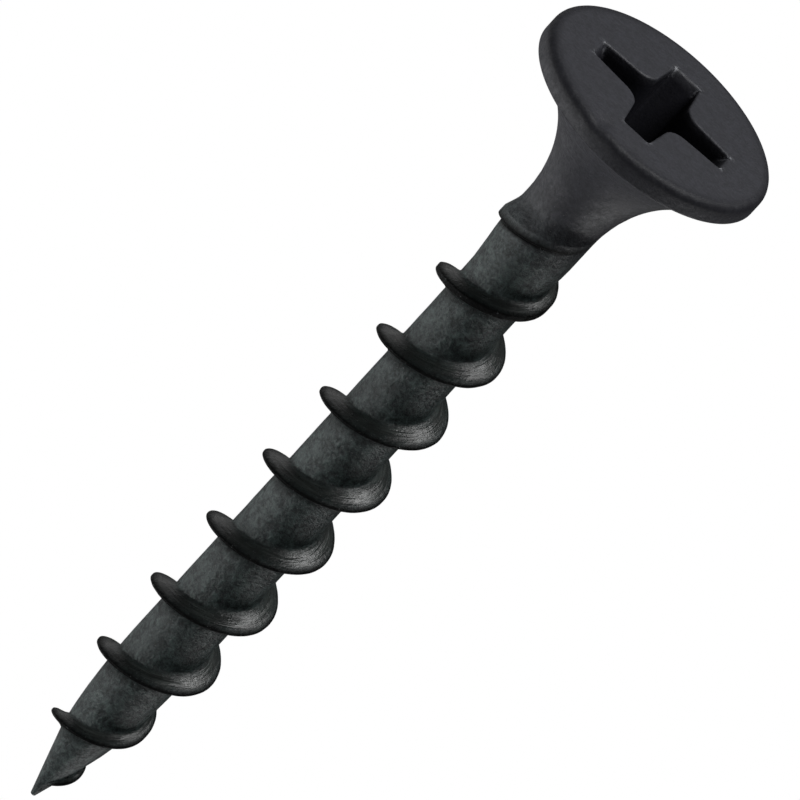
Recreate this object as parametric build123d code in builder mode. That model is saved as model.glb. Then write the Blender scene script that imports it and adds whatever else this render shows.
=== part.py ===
"""Bugle-head wood screw with a cross recess, a coarse right-hand thread and a pinched point.

The real screw is one piece of steel: wire that is cold headed, then rolled between flat dies,
which raise the thread out of the core and pinch off the point. So the part is one solid in one
node, and its features are built in that order: turned outline, thread, drive recess.

Frame: millimetres, +Z up and out of the head, origin at the centre of the flat head face. The
point is straight below it at z = -length. The arms of the drive recess lie along X and Y.
"""

import os
from math import acos, cos, degrees, exp, radians, sin, tan

from build123d import *

# Driving dimensions: a No. 6 x 1 1/4 in screw
length = 31.90  # head face to the end of the point
head_diameter = 8.30
shank_diameter = 2.60  # plain neck between the thread and the head
root_diameter = 2.26  # core that the dies leave between the threads
thread_diameter = 3.72  # over the thread crests
pitch = 2.88
recess_span = 5.10  # cross recess No. 2, wing tip to wing tip at the head face
recess_depth = 2.75

# Head
face_edge_radius = 0.25  # rounded edge of the head face
rim_height = 0.42  # cylindrical part of the rim
rim_lip = 0.07  # chamfer between the rim and the bugle curve
bugle_radius = 4.76  # concave curve that sweeps from the shank out to the rim

# Core
point_end_radius = 0.08
cone_height = 2.25  # straight cone from the point
cone_end_radius = 0.70
taper_height = 7.15  # height above the point where the core reaches its root diameter
neck_turns = (1.25, 0.45)  # the core widens to the shank between these turns before the thread ends

# Thread
flank_angle = 23.3  # of both flanks, from the plane across the axis
crest_half_width = 0.045
thread_start = 0.55  # height of the first crest above the point
start_angle = -90.0  # where round the screw the thread starts, from +X
start_radius = 0.14  # crest radius at the start, just inside the cone of the point
growth_turns = 0.65  # turns in which the crest closes all but 1/e of the gap to full height
thread_turns = 9.25
dip_turn = 1.27  # the crest is underfilled where the dies begin to pinch the point
dip_turns = 0.16
dip_depth = 0.22
sink = 0.14  # how far the base of the tooth reaches into the core

# Run-out: the crest sinks to a low blunt rib, which then dives into the shank
fade_turns = 2.05
rib_turns = 0.55  # length of the blunt rib at the end of the thread
rib_radius = 1.49
rib_half_width = 0.18
dive_turns = 0.22

# Drive recess
wing_width = 1.0  # across the end of a wing
wing_slope = 27.0  # of the wing ends, from the axis
wing_flare = 5.75  # each side of a wing widens inwards by this angle
wing_draft = 0.06  # by how much a wing is narrower at the bottom of the recess
wing_end_round = 0.12
corner_round = 0.50  # the four metal corners between the wings
pit_radius = 0.80  # shallow conical pit at the bottom
pit_depth = 0.30
punch_clearance = 0.20  # the punch shape goes on this far above the face

section_step = 30.0  # degrees between thread sections
sections_per_loft = 9

head_radius = head_diameter / 2
shank_radius = shank_diameter / 2
root_radius = root_diameter / 2
crest_radius = thread_diameter / 2
rim_top = -face_edge_radius
rim_bottom = rim_top - rim_height

# The bugle curve starts tangent to the shank and ends under the lip of the rim.
bugle_end_radius = head_radius - rim_lip
bugle_sweep = degrees(acos(1 - (bugle_end_radius - shank_radius) / bugle_radius))
bugle_start = rim_bottom - rim_lip - bugle_radius * sin(radians(bugle_sweep))

thread_bottom = -length + thread_start
thread_top = thread_bottom + pitch * thread_turns
neck_bottom = thread_top - neck_turns[0] * pitch
neck_top = thread_top - neck_turns[1] * pitch


def clamp(share):
    """The share, kept between 0 and 1."""
    return max(0.0, min(1.0, share))


def core_radius(z):
    """Radius of the core below the neck, which the base of the tooth follows."""
    above_point = z + length
    if above_point < cone_height:
        share = above_point / cone_height
        return point_end_radius + (cone_end_radius - point_end_radius) * share
    share = clamp((above_point - cone_height) / (taper_height - cone_height))
    return cone_end_radius + (root_radius - cone_end_radius) * share * (2 - share)


def tooth(turns):
    """(crest radius, half width of the crest) of the thread after a number of turns."""
    left = thread_turns - turns
    fade = clamp((fade_turns - left) / (fade_turns - rib_turns))
    dive = clamp(1 - left / dive_turns)
    crest = crest_radius - (crest_radius - start_radius) * exp(-turns / growth_turns)
    crest -= dip_depth * exp(-(((turns - dip_turn) / dip_turns) ** 2))
    crest -= (crest_radius - rib_radius) * fade**1.3
    crest -= (rib_radius - shank_radius + sink / 2) * dive**2
    return crest, crest_half_width + (rib_half_width - crest_half_width) * fade


def section_plane(turns):
    """Radial plane through the thread: local x is outwards and local y is up."""
    angle = radians(start_angle + 360 * turns)
    return Plane(
        origin=(0, 0, thread_bottom + pitch * turns),
        x_dir=(cos(angle), sin(angle), 0),
        z_dir=(sin(angle), -cos(angle), 0),
    )


with BuildPart() as screw:
    # Turned outline: point, core, neck, shank, bugle head and rim
    with BuildSketch(Plane.XZ):
        with BuildLine():
            end = Line((0, -length), (point_end_radius, -length))
            cone = Line(end @ 1, (cone_end_radius, -length + cone_height))
            taper = Spline(
                cone @ 1,
                (root_radius, -length + taper_height),
                tangents=(cone % 1, (0, 1)),
            )
            core = Line(taper @ 1, (root_radius, neck_bottom))
            neck = Line(core @ 1, (shank_radius, neck_top))
            shank = Line(neck @ 1, (shank_radius, bugle_start))
            bugle = CenterArc(
                (shank_radius + bugle_radius, bugle_start), bugle_radius, 180, -bugle_sweep
            )
            lip = Line(bugle @ 1, (head_radius, rim_bottom))
            rim = Line(lip @ 1, (head_radius, rim_top))
            edge = CenterArc((head_radius - face_edge_radius, rim_top), face_edge_radius, 0, 90)
            face = Line(edge @ 1, (0, 0))
            Line(face @ 1, end @ 0)
        make_face()
    revolve(axis=Axis.Z)

    # Thread: radial sections of the tooth along the helix, joined a part of a turn at a time
    last_section = round(thread_turns * 360 / section_step)
    for first in range(0, last_section, sections_per_loft):
        for section in range(first, min(first + sections_per_loft, last_section) + 1):
            turns = section * section_step / 360
            crest, half_width = tooth(turns)
            base = core_radius(thread_bottom + pitch * turns) - sink
            spread = (crest - base) * tan(radians(flank_angle))
            with BuildSketch(section_plane(turns)):
                with BuildLine():
                    Polyline(
                        (base, -half_width - spread),
                        (crest, -half_width),
                        (crest, half_width),
                        (base, half_width + spread),
                        close=True,
                    )
                make_face()
        loft()

    # Drive recess: the cross of the punch at two heights
    for depth in (-punch_clearance, recess_depth):
        half_span = recess_span / 2 - depth * tan(radians(wing_slope))
        end_half = (wing_width - wing_draft * depth / recess_depth) / 2
        middle_half = end_half + half_span * tan(radians(wing_flare))
        with BuildSketch(Plane.XY.offset(-depth)) as cross:
            for turn in (0, 90):
                with BuildLine(Plane.XY.rotated((0, 0, turn))):
                    Polyline(
                        (-half_span, -end_half),
                        (0, -middle_half),
                        (half_span, -end_half),
                        (half_span, end_half),
                        (0, middle_half),
                        (-half_span, end_half),
                        close=True,
                    )
                make_face()
            fillet(cross.vertices().sort_by_distance((0, 0, 0))[-8:], radius=wing_end_round)
            fillet(cross.vertices().sort_by_distance((0, 0, 0))[:4], radius=corner_round)
    loft(mode=Mode.SUBTRACT)
    with Locations((0, 0, -recess_depth - pit_depth / 2)):
        Cone(0, pit_radius, pit_depth, mode=Mode.SUBTRACT)

os.makedirs("parts", exist_ok=True)
screw.part.label = "screw"
export_step(screw.part, "parts/screw.step")
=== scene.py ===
"""The look of the wood screw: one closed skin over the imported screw, its black phosphate finish, the
studio and the camera.

Lengths are in millimetres. Heights count up from the end of the point until build_skin moves the skin
to the row's frame and turns it into metres.
"""

from math import atan2, cos, hypot, pi, radians, sin, tan

import bpy
import numpy as np
from mathutils import Matrix, Vector, noise


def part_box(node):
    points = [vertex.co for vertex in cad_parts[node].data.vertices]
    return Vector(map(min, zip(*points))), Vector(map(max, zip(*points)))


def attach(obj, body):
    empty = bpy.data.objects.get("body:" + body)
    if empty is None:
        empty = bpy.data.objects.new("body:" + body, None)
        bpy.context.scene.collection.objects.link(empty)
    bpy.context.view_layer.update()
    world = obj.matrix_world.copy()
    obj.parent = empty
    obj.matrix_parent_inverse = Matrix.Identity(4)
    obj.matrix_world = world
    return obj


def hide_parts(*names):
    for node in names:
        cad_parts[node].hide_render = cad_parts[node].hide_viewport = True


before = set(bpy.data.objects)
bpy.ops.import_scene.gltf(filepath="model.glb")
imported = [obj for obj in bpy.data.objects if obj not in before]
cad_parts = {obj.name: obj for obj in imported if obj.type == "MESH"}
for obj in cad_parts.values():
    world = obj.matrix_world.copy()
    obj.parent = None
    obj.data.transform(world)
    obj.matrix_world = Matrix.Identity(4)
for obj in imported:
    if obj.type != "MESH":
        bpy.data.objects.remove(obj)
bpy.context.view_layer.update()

MM = 0.001
lowest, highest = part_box("screw")

# Core and head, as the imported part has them
length = (highest.z - lowest.z) / MM
head_radius = highest.x / MM
shank_radius = 1.30
root_radius = 1.13
face_edge_radius = 0.25
rim_height = 0.42
rim_lip = 0.07
bugle_radius = 4.76
point_end_radius = 0.08
cone_height = 2.25
cone_end_radius = 0.70
taper_height = 7.15
neck_turns = (1.25, 0.45)  # the core widens to the shank between these turns before the thread ends

# Thread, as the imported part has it
crest_radius = 1.86
pitch = 2.88
flank_slope = 1 / tan(radians(23.3))
crest_half_width = 0.045
thread_start = 0.55
start_angle = -90.0
start_radius = 0.14
growth_turns = 0.65
thread_turns = 9.25
dip_turn = 1.27  # the crest is underfilled where the dies begin to pinch the point
dip_turns = 0.16
dip_depth = 0.22
fade_turns = 2.05
rib_turns = 0.55
rib_radius = 1.49
dive_turns = 0.22
dive_depth = 0.26

# Drive recess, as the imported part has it
half_span_at_face = 2.55
recess_depth = 2.75
wing_half_width = 0.5
wing_slope = tan(radians(27.0))
wing_flare = tan(radians(5.75))
wing_draft = 0.03
wing_end_round = 0.12
pit_radius = 0.80
pit_depth = 0.30

# Softening that a formed and phosphated surface has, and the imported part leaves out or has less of
crest_round = 0.022
root_fillet = 0.07
rib_half_width = 0.16
rib_slope = 0.34  # radius lost per unit of height on the gentle upper side of the rib
corner_round = 0.62
recess_edge_round = 0.07
crest_wobble = 0.016
surface_wobble = 0.006
rim_dents = ((-104.0, 4.5, 3.30, 0.07), (-86.0, 6.0, 3.50, 0.03))  # angle, half angle, inner radius, depth

# Heights that follow from these
thread_top = thread_start + pitch * thread_turns
neck_bottom = thread_top - neck_turns[0] * pitch
neck_top = thread_top - neck_turns[1] * pitch
bugle_end_radius = head_radius - rim_lip
bugle_sweep = np.arccos(1 - (bugle_end_radius - shank_radius) / bugle_radius)
rim_bottom = length - face_edge_radius - rim_height
bugle_start = rim_bottom - rim_lip - bugle_radius * sin(bugle_sweep)

# Skin: columns of points go round the screw. The rows that cross them follow the thread up to grid_top,
# where level rings take over.
columns = 240
whole_turns = 10
grid_top = bugle_start + 2.2
last_rib_height = grid_top - 0.5
point_heights = (0.003, 0.010, 0.020, 0.035, 0.055)
rows_to_first_tooth = (0.2, 0.45, 0.72)
rows_to_grid_top = (0.0, 0.3, 0.6, 1.0)

# Rows on one side of the tooth, from the far end of the bare core in to the crest. A pair is a distance
# and the share of the core or the flank that it may take up at most.
core_rows = (0.62, 0.30)
core_rows_at_foot = ((0.14, 0.15), (0.06, 0.06))
flank_rows_at_foot = (0.06, 0.22)
flank_middle_row = 0.55
flank_rows_at_crest = ((0.09, 0.30), (0.035, 0.14), (0.012, 0.05))
crest_rows = (0.012, 0.032)
foot_margin = 0.06

# Level rings of the head
bugle_ring_count = 18
lip_rises = (0.3, 0.6, 0.85)
rim_rises = (0.02, 0.10, 0.22, 0.34, 0.40)
face_edge_steps = 8
face_shares = (0.03, 0.07, 0.15, 0.32, 0.52, 0.70, 0.85, 0.95, 0.985)
recess_edge_steps = 5
wall_depths = (0.08, 0.14, 0.22, 0.38, 0.65, 1.0, 1.4, 1.8, 2.2, 2.5, 2.62)
floor_shares = (0.96, 0.85, 0.68, 0.5, 0.34, 0.2, 0.09)

# Points of half a wing of the recess. There are 31, and 29 of them again on the other half, so the four
# quadrants of 60 have a point for each column.
wing_end_steps = 5
end_round_steps = 6
wing_side_steps = 11
corner_round_steps = 8
wing_corner_column = 8  # the middle of the round at the wing's end


# Shape ----------------------------------------------------------------------------------------


def clamp(share):
    """The share, kept between 0 and 1."""
    return np.clip(share, 0.0, 1.0)


def smooth(share):
    """Eased share between 0 and 1."""
    s = clamp(share)
    return s * s * (3 - 2 * s)


def bell(x):
    """A bump of height 1 around 0."""
    return np.exp(-(x**2))


def rounded_ramp(x, width):
    """max(0, x) with its corner rounded over a width each side."""
    return np.where(np.abs(x) < width, (x + width) ** 2 / (4 * width), np.maximum(0, x))


def blended_max(a, b, width):
    """max(a, b) with the valley between them filled over a width."""
    gap = np.maximum(0, width - np.abs(a - b))
    return np.maximum(a, b) + gap * gap / (4 * width)


def taper_curve():
    """(heights, radii) along the curve from the cone of the point to the straight core."""
    t = np.linspace(0, 1, 41)
    lean = atan2(cone_end_radius - point_end_radius, cone_height)
    chord = hypot(root_radius - cone_end_radius, taper_height - cone_height)
    first = (cone_end_radius + sin(lean) * chord / 4, cone_height + cos(lean) * chord / 4)
    second = (root_radius, taper_height - chord / 3)
    weights = ((1 - t) ** 3, 3 * (1 - t) ** 2 * t, 3 * (1 - t) * t**2, t**3)
    corners = ((cone_end_radius, cone_height), first, second, (root_radius, taper_height))
    radii = sum(w * c[0] for w, c in zip(weights, corners))
    heights = sum(w * c[1] for w, c in zip(weights, corners))
    return heights, radii


taper_heights, taper_radii = taper_curve()


def core_radius(height):
    """Radius of the turned body at a height, up to grid_top."""
    stub = 0.03  # height over which the blunt end of the point rounds off
    end = point_end_radius * np.sqrt(1 - (1 - clamp(height / stub)) ** 2)
    cone = end + (cone_end_radius - point_end_radius) * height / cone_height
    taper = np.interp(height, taper_heights, taper_radii)
    neck = (shank_radius - root_radius) * smooth((height - neck_bottom) / (neck_top - neck_bottom))
    rise = np.clip(height - bugle_start, 0, grid_top - bugle_start)
    bugle = bugle_radius - np.sqrt(bugle_radius**2 - rise**2)
    return np.where(height < cone_height, cone, taper + neck + bugle)


def ripple(turns):
    """Uneven filling of the dies along the thread, about 1 at most."""

    def at(turn):
        slow = noise.noise((turn * 7.0, 0.3, 1.7))
        quick = noise.noise((turn * 19.0, 4.1, 0.2))
        return slow + 0.5 * quick

    return np.array([at(turn) for turn in turns])


def tooth(turns):
    """(crest radius, half width of the crest, slope above it) of the thread after some turns."""
    left = thread_turns - turns
    fade = clamp((fade_turns - left) / (fade_turns - rib_turns))
    dive = np.maximum(0, 1 - left / dive_turns)
    crest = crest_radius - (crest_radius - start_radius) * np.exp(-turns / growth_turns)
    crest = crest - dip_depth * bell((turns - dip_turn) / dip_turns)
    crest = crest - (crest_radius - rib_radius) * fade**1.3 - dive_depth * dive**2
    crest = crest + crest_wobble * ripple(turns) * smooth(turns)
    half_width = crest_half_width + (rib_half_width - crest_half_width) * fade
    slope = flank_slope + (rib_slope - flank_slope) * smooth((fade - 0.75) / 0.25)
    return crest, half_width, slope


def painted_shade_across(across, half_width, rib):
    """How much painted shade a point gets at a distance across the tooth.

    Painted shade: black on the crest and on the lower edge of the rib, and dark on the core under the
    tooth.
    """
    # Painted shade: a black outline on the crest, dark under the tooth and a black shadow line under the
    # rib
    crest_outline_shade = 1 - smooth((np.abs(across) - half_width) / 0.10)
    shade_under_tooth = np.where(across < 0, 0.6 * smooth((across + 0.72) / 0.25), 0.0)
    above_rib_edge = across + half_width
    rib_edge_shadow = smooth(above_rib_edge / 0.14 + 1.9) * (1 - smooth((above_rib_edge - 0.06) / 0.20))
    return np.maximum(crest_outline_shade, shade_under_tooth) * (1 - rib) + rib_edge_shadow * rib


# A row is (heights, radii, how much painted shade, how much of a flank, distance along the helix,
# distance across the tooth), and each of these has a value for every column.


def plain_row(height):
    """A row on the bare core."""
    blank = np.zeros(columns)
    return height, core_radius(height), blank, blank, blank, blank


def tooth_row(turns, middle, across, shape):
    """A row at a distance across the tooth, whose crest is at the middle height."""
    crest, half_width, slope = shape
    height = middle + across
    core = core_radius(height)
    steepness = np.where(across > 0, slope, flank_slope)
    face_of_tooth = crest - rounded_ramp(np.abs(across) - half_width, crest_round) * steepness
    radius = blended_max(core, face_of_tooth, root_fillet)
    stands = smooth((crest - core) / 0.12)
    rib = clamp((flank_slope - slope) / (flank_slope - rib_slope))
    # Painted shade, only where the tooth stands proud of the core
    painted_shade = stands * painted_shade_across(across, half_width, rib)
    flank = stands * smooth((face_of_tooth - core) / 0.1) * (1 - painted_shade) * (1 - rib)
    return height, radius, painted_shade, flank, 2 * pi * root_radius * turns, across


def side_offsets(half_width, foot, reach):
    """Distances from the middle of the crest, outermost first, at which one side of it has a row."""
    core = reach - foot
    flank = foot - half_width
    offsets = [reach]
    offsets += [foot + share * core for share in core_rows]
    offsets += [foot + np.minimum(most, share * core) for most, share in core_rows_at_foot]
    offsets += [foot - share * flank for share in flank_rows_at_foot]
    offsets += [half_width + flank_middle_row * flank]
    offsets += [half_width + np.minimum(most, share * flank) for most, share in flank_rows_at_crest]
    offsets += [half_width - inset for inset in crest_rows]
    return offsets


def tooth_rows(turns, middle, below, above):
    """Rows from a distance below the crest to a distance above it."""
    shape = tooth(turns)
    crest, half_width, slope = shape
    proud = np.maximum(0, crest - core_radius(middle))
    foot_below = np.minimum(half_width + foot_margin + proud / flank_slope, 0.9 * below)
    foot_above = np.minimum(half_width + foot_margin + proud / slope, 0.9 * above)
    across = [-offset for offset in side_offsets(half_width, foot_below, below)]
    across += [np.zeros(columns)]
    across += side_offsets(half_width, foot_above, above)[:0:-1]
    return [tooth_row(turns, middle, offset, shape) for offset in across]


def side_grid():
    """Columns of points from the end of the point up to grid_top, as arrays by (column, row)."""
    share = np.arange(columns) / columns
    first = thread_start + pitch * share
    below = np.minimum(pitch / 2, 0.8 * first)
    rows = [plain_row(np.full(columns, height)) for height in point_heights]
    gap = first - below - point_heights[-1]
    rows += [plain_row(point_heights[-1] + gap * part) for part in rows_to_first_tooth]
    for k in range(whole_turns):
        turns = k + share
        middle = np.minimum(thread_start + pitch * turns, last_rib_height)
        following = np.minimum(thread_start + pitch * (turns + 1), last_rib_height)
        above = (following - middle) / 2 if k < whole_turns - 1 else 0.75 * (grid_top - middle)
        rows += tooth_rows(turns, middle, below, above)
        below = above
    last = middle + above
    rows += [plain_row(last + (grid_top - last) * part) for part in rows_to_grid_top]
    return [np.array(layer).T for layer in zip(*rows)]


def wing_path(depth):
    """Half of one wing at a depth, from the middle of its end to the middle of the metal corner.

    Gives points and the directions into the metal. The wing points along +X.
    """
    span = half_span_at_face - depth * wing_slope
    end_half = wing_half_width - wing_draft * depth / recess_depth
    middle_half = end_half + span * wing_flare
    slant = hypot(1, wing_flare)
    across = np.array((wing_flare, 1)) / slant
    end_centre_x = span - wing_end_round
    end_centre_y = middle_half - wing_flare * end_centre_x - wing_end_round * slant
    end_centre = np.array((end_centre_x, end_centre_y))
    corner = (middle_half + corner_round * slant) / (1 + wing_flare)
    corner_centre = np.array((corner, corner))
    side_angle = atan2(1, wing_flare)
    points, into = [], []
    for part in np.arange(wing_end_steps) / wing_end_steps:
        points.append(np.array((span, end_centre_y * part)))
        into.append(np.array((1.0, 0.0)))
    for part in np.arange(end_round_steps) / end_round_steps:
        direction = np.array((cos(side_angle * part), sin(side_angle * part)))
        points.append(end_centre + wing_end_round * direction)
        into.append(direction)
    start = end_centre + wing_end_round * across
    stop = corner_centre - corner_round * across
    for part in np.arange(wing_side_steps) / wing_side_steps:
        points.append(start + (stop - start) * part)
        into.append(across)
    for part in np.arange(corner_round_steps + 1) / corner_round_steps:
        angle = side_angle + (pi / 4 - side_angle) * part
        direction = np.array((cos(angle), sin(angle)))
        points.append(corner_centre - corner_round * direction)
        into.append(direction)
    return np.array(points), np.array(into)


def cross_ring(depth, grow=0.0):
    """The recess's outline at a depth, pushed into the metal by grow, with a point for each column."""
    points, into = wing_path(depth)
    half = points + grow * into
    quadrant = np.vstack((half, half[-2:0:-1, ::-1]))
    ring = []
    for quarter in range(4):
        angle = radians(start_angle + 90 * quarter)
        turned = np.array(((cos(angle), sin(angle)), (-sin(angle), cos(angle))))
        ring.append(quadrant @ turned)
    return np.vstack(ring)


def wear_and_glint_corners():
    """How near each column is to a wing end's corner, where the coating wears through and a glint is
    painted.
    """
    column = np.arange(columns // 4)
    quadrant = np.zeros(columns // 4)
    for corner in (wing_corner_column, columns // 4 - wing_corner_column):
        quadrant += bell((column - corner) / 2.5)
    return np.tile(quadrant, 4)


def circle_ring(radius):
    """A circle, with a point for each column."""
    angles = np.radians(start_angle) + 2 * pi * np.arange(columns) / columns
    return radius * np.column_stack((np.cos(angles), np.sin(angles)))


def level_ring(points, height, recess_edge=0.0, inside=0.0, rim_edge_shade=0.0):
    """A ring of the head.

    It is (points with their height, how much of an edge of the recess it is, depth in the recess, how
    much painted shade the edge of the face gets).
    """
    level = np.full((columns, 1), height)
    return np.hstack((points, level)), recess_edge, inside, rim_edge_shade


def bugle_rings():
    """Rings up the bugle curve and over the lip."""
    rings = []
    grid_sweep = np.arcsin((grid_top - bugle_start) / bugle_radius)
    for part in np.arange(1, bugle_ring_count + 1) / bugle_ring_count:
        sweep = grid_sweep + (bugle_sweep - grid_sweep) * part
        radius = shank_radius + bugle_radius * (1 - cos(sweep))
        rings.append(level_ring(circle_ring(radius), bugle_start + bugle_radius * sin(sweep)))
    for rise in lip_rises:
        radius = bugle_end_radius + rim_lip * sin(rise * pi / 2)
        rings.append(level_ring(circle_ring(radius), rim_bottom - rim_lip * (1 - rise)))
    return rings


def rim_rings():
    """Rings up the rim and round the edge of the face."""
    rings = []
    for rise in rim_rises:
        # Painted shade on the upper rim
        rim_edge_shade = 0.6 * smooth((rise - 0.22) / 0.2)
        rings.append(level_ring(circle_ring(head_radius), rim_bottom + rise, rim_edge_shade=rim_edge_shade))
    for part in np.arange(face_edge_steps + 1) / face_edge_steps:
        angle = pi / 2 * part
        radius = head_radius - face_edge_radius + face_edge_radius * cos(angle)
        height = length - face_edge_radius * (1 - sin(angle))
        # Painted shade round the edge of the face
        rings.append(level_ring(circle_ring(radius), height, rim_edge_shade=0.6 + 0.4 * sin(2 * angle)))
    return rings


def face_rings():
    """Rings across the face, from its circle to the cross."""
    rings = []
    outer = circle_ring(head_radius - face_edge_radius)
    mouth = cross_ring(0.0, recess_edge_round)
    for part in face_shares:
        points = outer * (1 - part) + mouth * part
        recess_edge = 0.5 * smooth((part - 0.9) / 0.1)
        # Painted shade fading in from the edge of the face
        rim_edge_shade = 0.6 * smooth(1 - part / 0.10)
        rings.append(level_ring(points, length, recess_edge, rim_edge_shade=rim_edge_shade))
    return rings


def recess_rings():
    """Rings over the rounded edge of the recess, down its walls and in to the middle of the pit."""
    rings = []
    for part in np.arange(recess_edge_steps + 1) / recess_edge_steps:
        angle = pi / 2 * part
        sunk = recess_edge_round * (1 - cos(angle))
        points = cross_ring(sunk, recess_edge_round * (1 - sin(angle)))
        rings.append(level_ring(points, length - sunk, 1.0, sunk))
    for depth in wall_depths:
        rings.append(level_ring(cross_ring(depth), length - depth, clamp(1 - depth / 0.4), depth))
    floor = cross_ring(recess_depth)
    for part in floor_shares:
        points = floor * part
        inner = np.hypot(points[:, 0], points[:, 1]).mean() / pit_radius
        height = length - recess_depth - pit_depth * clamp(1 - inner)
        rings.append(level_ring(points, height, 0.0, recess_depth))
    return rings


def roughen(points, heights):
    """Moves the side points in or out a little, as the dies and the phosphate leave them."""

    def at(point):
        return noise.noise(point * 2.3) + 0.6 * noise.noise(point * 6.1)

    uneven = np.array([at(point) for point in map(Vector, points.reshape(-1, 3))])
    away_from_ends = smooth((heights - 0.5) / 0.8) * smooth((grid_top - heights) / 0.8)
    radii = np.hypot(points[..., 0], points[..., 1])
    scale = 1 + surface_wobble * uneven.reshape(heights.shape) * away_from_ends / radii
    points[..., 0] *= scale
    points[..., 1] *= scale


def dent_rim(points):
    """Knocks small dents in the edge of the face, and gives how much of a dent each ring point is."""
    radius = np.hypot(points[:, 0], points[:, 1])
    angle = np.degrees(np.arctan2(points[:, 1], points[:, 0]))
    near_face = smooth((points[:, 2] - length + 0.75) / 0.5)
    dented = np.zeros(len(points))
    for centre, half_angle, inner_radius, depth in rim_dents:
        share = bell((angle - centre) / half_angle) * smooth((radius - inner_radius) / 0.3) * near_face
        points[:, 2] -= depth * share
        dented = np.maximum(dented, share)
    return dented


def seam_faces(left, right, heights):
    """Triangles between the last column and the first, which are a turn of the thread out of step."""
    rows = heights.shape[1]
    step = pitch / columns
    faces = []
    i = j = 0
    while i < rows - 1 or j < rows - 1:
        left_next = heights[columns - 1, i + 1] + step if i < rows - 1 else np.inf
        right_next = heights[0, j + 1] if j < rows - 1 else np.inf
        if left_next <= right_next:
            faces.append((left + i, right + j, left + i + 1))
            i += 1
        else:
            faces.append((left + i, right + j, right + j + 1))
            j += 1
    return faces


def skin_faces(heights, ring_count):
    """Faces of the skin, by vertex number: end of the point, side columns, head rings, pit, seam."""
    rows = heights.shape[1]
    point, side, rings = 0, 1, 1 + columns * rows
    pit = rings + columns * ring_count
    faces = []
    for i in range(columns):
        following = (i + 1) % columns
        here, there = side + i * rows, side + following * rows
        faces.append((point, there, here))
        if following:
            for j in range(rows - 1):
                faces.append((here + j, there + j, there + j + 1, here + j + 1))
        below, beyond = here + rows - 1, there + rows - 1
        for k in range(ring_count):
            up, over = rings + k * columns + i, rings + k * columns + following
            faces.append((below, beyond, over, up))
            below, beyond = up, over
        faces.append((below, beyond, pit))
    return faces + seam_faces(side + (columns - 1) * rows, side, heights)


def build_skin():
    """The screw's skin as a mesh object in metres, with masks of finish, painted shade and glints as
    attributes.
    """
    heights, radii, painted_shade, flank, along, across = side_grid()
    rings = bugle_rings() + rim_rings() + face_rings() + recess_rings()
    side_points = np.dstack((circle_ring(1.0)[:, None, :] * radii[:, :, None], heights))
    roughen(side_points, heights)
    ring_points = np.vstack([ring[0] for ring in rings])
    dented = dent_rim(ring_points)
    pit_point = (0.0, 0.0, length - recess_depth - pit_depth)
    points = np.vstack(((0.0, 0.0, 0.0), side_points.reshape(-1, 3), ring_points, pit_point))
    points[:, 2] -= length

    def layer(on_side, on_rings):
        return np.concatenate(((0.0,), np.ravel(on_side), np.ravel(on_rings), (0.0,)))

    no_side = np.zeros_like(heights)
    no_rings = np.zeros(len(ring_points))
    recess_edges, depths, rim_edge_shades = (np.array([ring[i] for ring in rings], float) for i in (1, 2, 3))
    layers = {
        "painted_shade": layer(painted_shade, no_rings),
        "flank": layer(flank, no_rings),
        "along": layer(along, no_rings),
        "across": layer(across, no_rings),
        # Painted shade along the edge of the face, and in the dents knocked into it
        "rim_edge_shade": layer(no_side, np.maximum(np.repeat(rim_edge_shades, columns), 0.6 * dented)),
        "wear_and_glint": layer(no_side, np.outer(recess_edges, wear_and_glint_corners())),
        "recess_depth": layer(no_side, np.repeat(depths, columns)),
    }

    mesh = bpy.data.meshes.new("screw_skin")
    mesh.from_pydata(points * MM, [], skin_faces(heights, len(rings)))
    for name, values in layers.items():
        attribute = mesh.attributes.new(name, "FLOAT", "POINT")
        attribute.data.foreach_set("value", values.astype(np.float32))
    mesh.polygons.foreach_set("use_smooth", np.ones(len(mesh.polygons), bool))
    mesh.update()
    skin = bpy.data.objects.new("screw_skin", mesh)
    bpy.context.scene.collection.objects.link(skin)
    return skin


# Finish ---------------------------------------------------------------------------------------

# Greys of the phosphate, each from the darkest to the lightest of its mottling
thread_greys = ((0.010, 0.015, 0.016, 1), (0.083, 0.114, 0.110, 1))
# The flank's lightest grey is put near the core as a painted highlight
flank_greys = ((0.009, 0.010, 0.009, 1), (0.085, 0.097, 0.091, 1))
head_greys = ((0.030, 0.031, 0.038, 1), (0.056, 0.057, 0.068, 1))
# The face of the head is painted darker than the rest of the head, as shade
shaded_face_greys = ((0.023, 0.024, 0.030, 1), (0.044, 0.045, 0.055, 1))
# Painted shade: the black outline of the crests, the underside of the tooth, the edge of the face and the
# recess
crest_painted_shade = (0.005, 0.005, 0.005, 1)
underside_painted_shade = (0.007, 0.007, 0.007, 1)
rim_painted_shade = (0.014, 0.014, 0.017, 1)
recess_painted_shade = (0.014, 0.014, 0.018, 1)
# Worn steel at the corners of the wings, painted light as a glint
worn_steel_glint = (0.42, 0.43, 0.46, 1)
# Light specks of the crystals, painted as glints
crystal_glint_grey = (0.26, 0.27, 0.28, 1)


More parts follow.
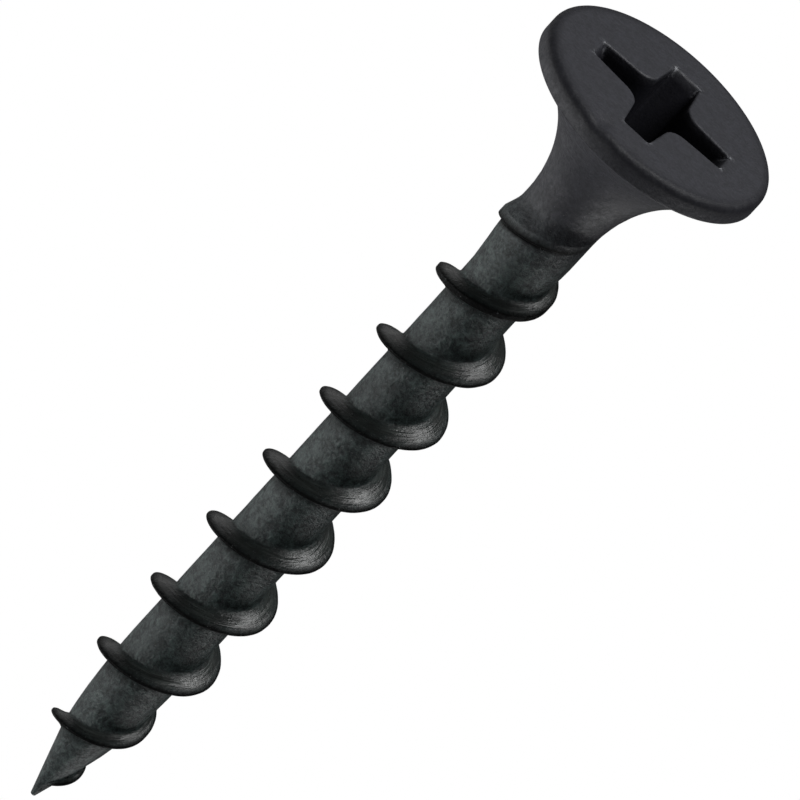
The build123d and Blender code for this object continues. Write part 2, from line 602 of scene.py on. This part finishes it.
class Nodes:
    """Short ways to add and join a material's nodes."""

    def __init__(self, material):
        material.use_nodes = True
        self.tree = material.node_tree
        self.tree.nodes.clear()

    def add(self, kind, settings=None, **inputs):
        """A node with its inputs set by name, or by number as i0, i1 and so on."""
        node = self.tree.nodes.new("ShaderNode" + kind)
        for name, value in (settings or {}).items():
            setattr(node, name, value)
        for name, value in inputs.items():
            by_number = name[0] == "i" and name[1:].isdigit()
            self.put(node.inputs[int(name[1:]) if by_number else name], value)
        return node

    def put(self, socket, value):
        """Sets an input to a value, or joins an output to it."""
        if isinstance(value, bpy.types.NodeSocket):
            self.tree.links.new(value, socket)
        else:
            socket.default_value = value

    def attribute(self, name):
        return self.add("Attribute", {"attribute_name": name}).outputs["Fac"]

    def math(self, operation, a, b=0.0, c=0.0):
        return self.add("Math", {"operation": operation}, i0=a, i1=b, i2=c).outputs[0]

    def times(self, a, b):
        return self.math("MULTIPLY", a, b)

    def ramp(self, value, low, high, to_low=0.0, to_high=1.0):
        """A smooth step from to_low to to_high, as the value goes from low to high."""
        node = self.add("MapRange", {"interpolation_type": "SMOOTHSTEP"}, Value=value)
        ends = {"From Min": low, "From Max": high, "To Min": to_low, "To Max": to_high}
        for name, number in ends.items():
            node.inputs[name].default_value = number
        return node.outputs[0]

    def noise(self, vector, scale, detail, roughness):
        node = self.add("TexNoise", None, Vector=vector, Scale=scale, Detail=detail, Roughness=roughness)
        return node.outputs["Fac"]

    def mix(self, share, a, b):
        return self.add("Mix", {"data_type": "RGBA"}, i0=share, i6=a, i7=b).outputs[2]


class Surface:
    """What the finish depends on: the place on the screw, the skin's attributes and the textures."""

    def __init__(self, n):
        place = n.add("TexCoord").outputs["Object"]
        self.in_mm = n.add("Mapping", None, Vector=place, Scale=(1 / MM, 1 / MM, 1 / MM)).outputs[0]
        self.height = n.add("SeparateXYZ", None, Vector=self.in_mm).outputs["Z"]
        flattened = n.add("Mapping", None, Vector=self.in_mm, Scale=(1, 1, 0)).outputs[0]
        self.from_axis = n.add("VectorMath", {"operation": "LENGTH"}, i0=flattened).outputs["Value"]
        self.on_head = n.ramp(self.height, -7.0, -4.0)

        across = n.attribute("across")
        # Mask of painted shade on the thread
        self.painted_shade = n.attribute("painted_shade")
        self.flank = n.attribute("flank")
        # Painted shade on the lower flank, under the crest
        self.underside_shade = n.times(self.flank, n.ramp(across, -0.06, -0.02, 1.0, 0.0))
        # Painted shade deepening down the recess
        self.inside = n.ramp(n.attribute("recess_depth"), 0.02, 0.34)

        unrolled = n.add("CombineXYZ", None, X=n.times(n.attribute("along"), 0.6), Y=n.times(across, 9.0))
        self.streaks = n.noise(unrolled.outputs[0], 2.0, 3.0, 0.6)
        self.blotches = n.noise(self.in_mm, 2.8, 5.0, 0.70)
        self.grain = n.noise(self.in_mm, 7.5, 3.0, 0.75)
        patches = n.noise(self.in_mm, 0.9, 3.0, 0.55)
        fine = n.times(n.ramp(self.grain, 0.42, 0.62), 0.55)
        mottling = n.math("MULTIPLY_ADD", n.ramp(self.blotches, 0.40, 0.62), 0.6, fine)
        self.light = n.times(mottling, n.ramp(patches, 0.25, 0.6, 0.55, 1.0))
        # Painted shade at the edge of the face, mottled
        self.rim_edge_shade = n.times(n.attribute("rim_edge_shade"), n.ramp(self.blotches, 0.3, 0.6, 0.30, 0.75))


def body_colour(n, s):
    """Mottled grey, greener on the thread than on the head, with painted shade darkening the head's face.
    """
    head = n.mix(s.light, *head_greys)
    head = n.mix(n.ramp(s.height, -0.30, -0.10), head, n.mix(s.light, *shaded_face_greys))
    return n.mix(s.on_head, n.mix(s.light, *thread_greys), head)


def thread_marks(n, s, colour):
    """Die streaks and a painted highlight on the flanks, painted shade on the crests and under them."""
    # Die streaks, lighter toward the core as a painted highlight on the flank
    streaks_and_painted_highlight = n.times(n.ramp(s.streaks, 0.42, 0.70, 0.15, 1.0), n.ramp(s.from_axis, 1.35, 1.80, 1.0, 0.35))
    colour = n.mix(n.times(s.flank, 0.85), colour, n.mix(streaks_and_painted_highlight, *flank_greys))
    # Painted shade on the underside of the tooth
    colour = n.mix(n.times(s.underside_shade, 0.75), colour, underside_painted_shade)
    # Painted shade: black crests, dark under the tooth and a black line under the rib
    return n.mix(n.times(s.painted_shade, 0.96), colour, crest_painted_shade)


def head_marks(n, s, colour):
    """Painted shade at the face's edge and in the recess, worn steel with painted glints at the wing
    corners.
    """
    # Painted shade at the edge of the face
    colour = n.mix(s.rim_edge_shade, colour, rim_painted_shade)
    # Painted shade in the recess
    colour = n.mix(n.times(s.inside, 0.93), colour, recess_painted_shade)
    # Worn steel with a painted glint at the wing corners
    wear_and_glint_share = n.times(n.attribute("wear_and_glint"), n.ramp(s.grain, 0.45, 0.62, 0.0, 0.75))
    return n.mix(wear_and_glint_share, colour, worn_steel_glint)


def crystals(n, s, colour):
    """Light crystal specks of phosphate with painted glints, which the top of the head lacks."""
    fine = n.noise(s.in_mm, 13.0, 2.0, 0.6)
    crystal_glint = n.times(n.ramp(fine, 0.66, 0.74), n.ramp(s.height, -2.5, -5.0))
    return n.mix(n.times(crystal_glint, 0.45), colour, crystal_glint_grey)


def surface_normal(n, s):
    """Bumps of the crystals, which give way to the streaks on the flanks."""
    off_flank = n.math("MULTIPLY_ADD", s.flank, -0.75, 1.0)
    bumps = n.times(off_flank, n.math("MULTIPLY_ADD", s.grain, 1.2, s.blotches))
    bumps = n.math("ADD", bumps, n.times(n.times(s.streaks, s.flank), 0.8))
    strength = n.math("MULTIPLY_ADD", s.on_head, -0.45, 0.8)
    return n.add("Bump", None, Strength=strength, Distance=0.05 * MM, Height=bumps).outputs[0]


def phosphate_finish():
    """Black phosphate: a fine crystalline dark grey, with painted shade and painted glints."""
    material = bpy.data.materials.new("black_phosphate")
    n = Nodes(material)
    s = Surface(n)
    colour = body_colour(n, s)
    colour = thread_marks(n, s, colour)
    colour = head_marks(n, s, colour)
    colour = crystals(n, s, colour)

    roughness = n.math("MULTIPLY_ADD", s.light, -0.14, 0.52)
    roughness = n.math("MULTIPLY_ADD", s.flank, -0.15, roughness)
    roughness = n.math("MULTIPLY_ADD", s.on_head, 0.10, roughness)
    dull_thread = n.math("MAXIMUM", s.painted_shade, s.underside_shade)
    dull_head = n.math("MAXIMUM", s.inside, s.rim_edge_shade)
    dull = n.math("MAXIMUM", dull_thread, dull_head)
    shine = n.math("MULTIPLY_ADD", s.flank, 0.08, 0.5)
    shine = n.times(shine, n.math("MULTIPLY_ADD", dull, -0.88, 1.0))

    shader = n.add("BsdfPrincipled", None, Roughness=roughness, Normal=surface_normal(n, s), IOR=1.5)
    n.put(shader.inputs["Base Color"], colour)
    n.put(shader.inputs["Specular IOR Level"], shine)
    n.add("OutputMaterial", None, Surface=shader.outputs[0])
    return material


# Studio, in metres ----------------------------------------------------------------------------

camera_aim = Vector((0.159, 0.0, -13.27)) * MM
camera_distance = 515.6 * MM
camera_azimuth = 0.70
camera_elevation = 27.05
camera_roll = 42.455
camera_lens = 765.9  # focal length in millimetres, for a sensor 36 mm wide

# Softboxes: name, direction from the screw as (right, up, towards the camera), diameter, watts
softbox_distance = 0.25
softboxes = (
    ("right", (0.80, 0.50, 0.33), 0.18, 0.50),
    ("left", (-0.97, 0.0, 0.26), 0.20, 0.25),
    ("front_left", (-0.64, 0.0, 0.77), 0.20, 0.04),
    ("behind_left", (-0.81, 0.47, -0.34), 0.20, 0.10),
    ("behind", (-0.67, 0.0, -0.74), 0.20, 0.035),
    ("below", (0.0, -0.94, -0.34), 0.20, 0.21),
    ("behind_above", (0.0, 0.64, -0.77), 0.20, 0.03),
)
surround_light = 0.03  # strength of the white surround, as far as it lights the screw
floor_half_width = 4.0
floor_level = -0.25


def camera_axes():
    """The camera's right, up and backward directions in the row's frame."""
    azimuth, elevation, roll = (radians(a) for a in (camera_azimuth, camera_elevation, camera_roll))
    back = Vector((sin(azimuth) * cos(elevation), -cos(azimuth) * cos(elevation), sin(elevation)))
    level = Vector((cos(azimuth), sin(azimuth), 0.0))
    upright = back.cross(level)
    right = level * cos(roll) + upright * sin(roll)
    up = upright * cos(roll) - level * sin(roll)
    return right, up, back


def add_camera():
    """The scene's camera, rolled so that the screw lies along the picture's diagonal."""
    right, up, back = camera_axes()
    data = bpy.data.cameras.new("camera")
    data.lens = camera_lens
    data.clip_start = 0.01
    data.clip_end = 10.0
    camera = bpy.data.objects.new("camera", data)
    place = Matrix.Translation(camera_aim + back * camera_distance)
    camera.matrix_world = place @ Matrix((right, up, back)).transposed().to_4x4()
    bpy.context.scene.collection.objects.link(camera)
    bpy.context.scene.camera = camera


def add_softbox(name, direction, size, watts):
    """A round area light that the camera doesn't see."""
    right, up, back = camera_axes()
    sideways, upwards, towards = direction
    away = (right * sideways + up * upwards + back * towards).normalized()
    data = bpy.data.lights.new(name, "AREA")
    data.shape = "DISK"
    data.size = size
    data.energy = watts
    lamp = bpy.data.objects.new(name, data)
    lamp.location = camera_aim + away * softbox_distance
    lamp.rotation_mode = "QUATERNION"
    lamp.rotation_quaternion = away.to_track_quat("Z", "Y")
    lamp.visible_camera = False
    bpy.context.scene.collection.objects.link(lamp)


def white_from_above():
    """A plain white that glows upwards and is clear from below, so that a low camera sees past it."""
    material = bpy.data.materials.new("white_floor")
    n = Nodes(material)
    white = n.add("Emission", None, Color=(1, 1, 1, 1), Strength=1.0).outputs[0]
    clear = n.add("BsdfTransparent").outputs[0]
    from_below = n.add("NewGeometry").outputs["Backfacing"]
    surface = n.add("MixShader", None, i0=from_below, i1=white, i2=clear).outputs[0]
    n.add("OutputMaterial", None, Surface=surface)
    return material


def add_floor():
    """A plain white floor, far enough below the screw to stay clear of its shadow."""
    mesh = bpy.data.meshes.new("floor")
    far = floor_half_width
    corners = [(x, y, floor_level) for x, y in ((-far, -far), (far, -far), (far, far), (-far, far))]
    mesh.from_pydata(corners, [], [(0, 1, 2, 3)])
    mesh.materials.append(white_from_above())
    floor = bpy.data.objects.new("floor", mesh)
    bpy.context.scene.collection.objects.link(floor)
    floor.visible_glossy = False
    floor.visible_diffuse = False


def add_white_surround():
    """A white surround for the camera, that lights the screw only a little."""
    world = bpy.data.worlds.new("studio")
    world.use_nodes = True
    tree = world.node_tree
    seen = tree.nodes.new("ShaderNodeLightPath").outputs["Is Camera Ray"]
    strength = tree.nodes.new("ShaderNodeMath")
    strength.operation = "MAXIMUM"
    strength.inputs[1].default_value = surround_light
    tree.links.new(seen, strength.inputs[0])
    background = tree.nodes["Background"]
    background.inputs["Color"].default_value = (1, 1, 1, 1)
    tree.links.new(strength.outputs[0], background.inputs["Strength"])
    bpy.context.scene.world = world


skin = build_skin()
skin.data.materials.append(phosphate_finish())
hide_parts("screw")
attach(skin, "root")

add_camera()
add_floor()
for softbox in softboxes:
    add_softbox(*softbox)
add_white_surround()
bpy.context.scene.view_settings.view_transform = "Standard"
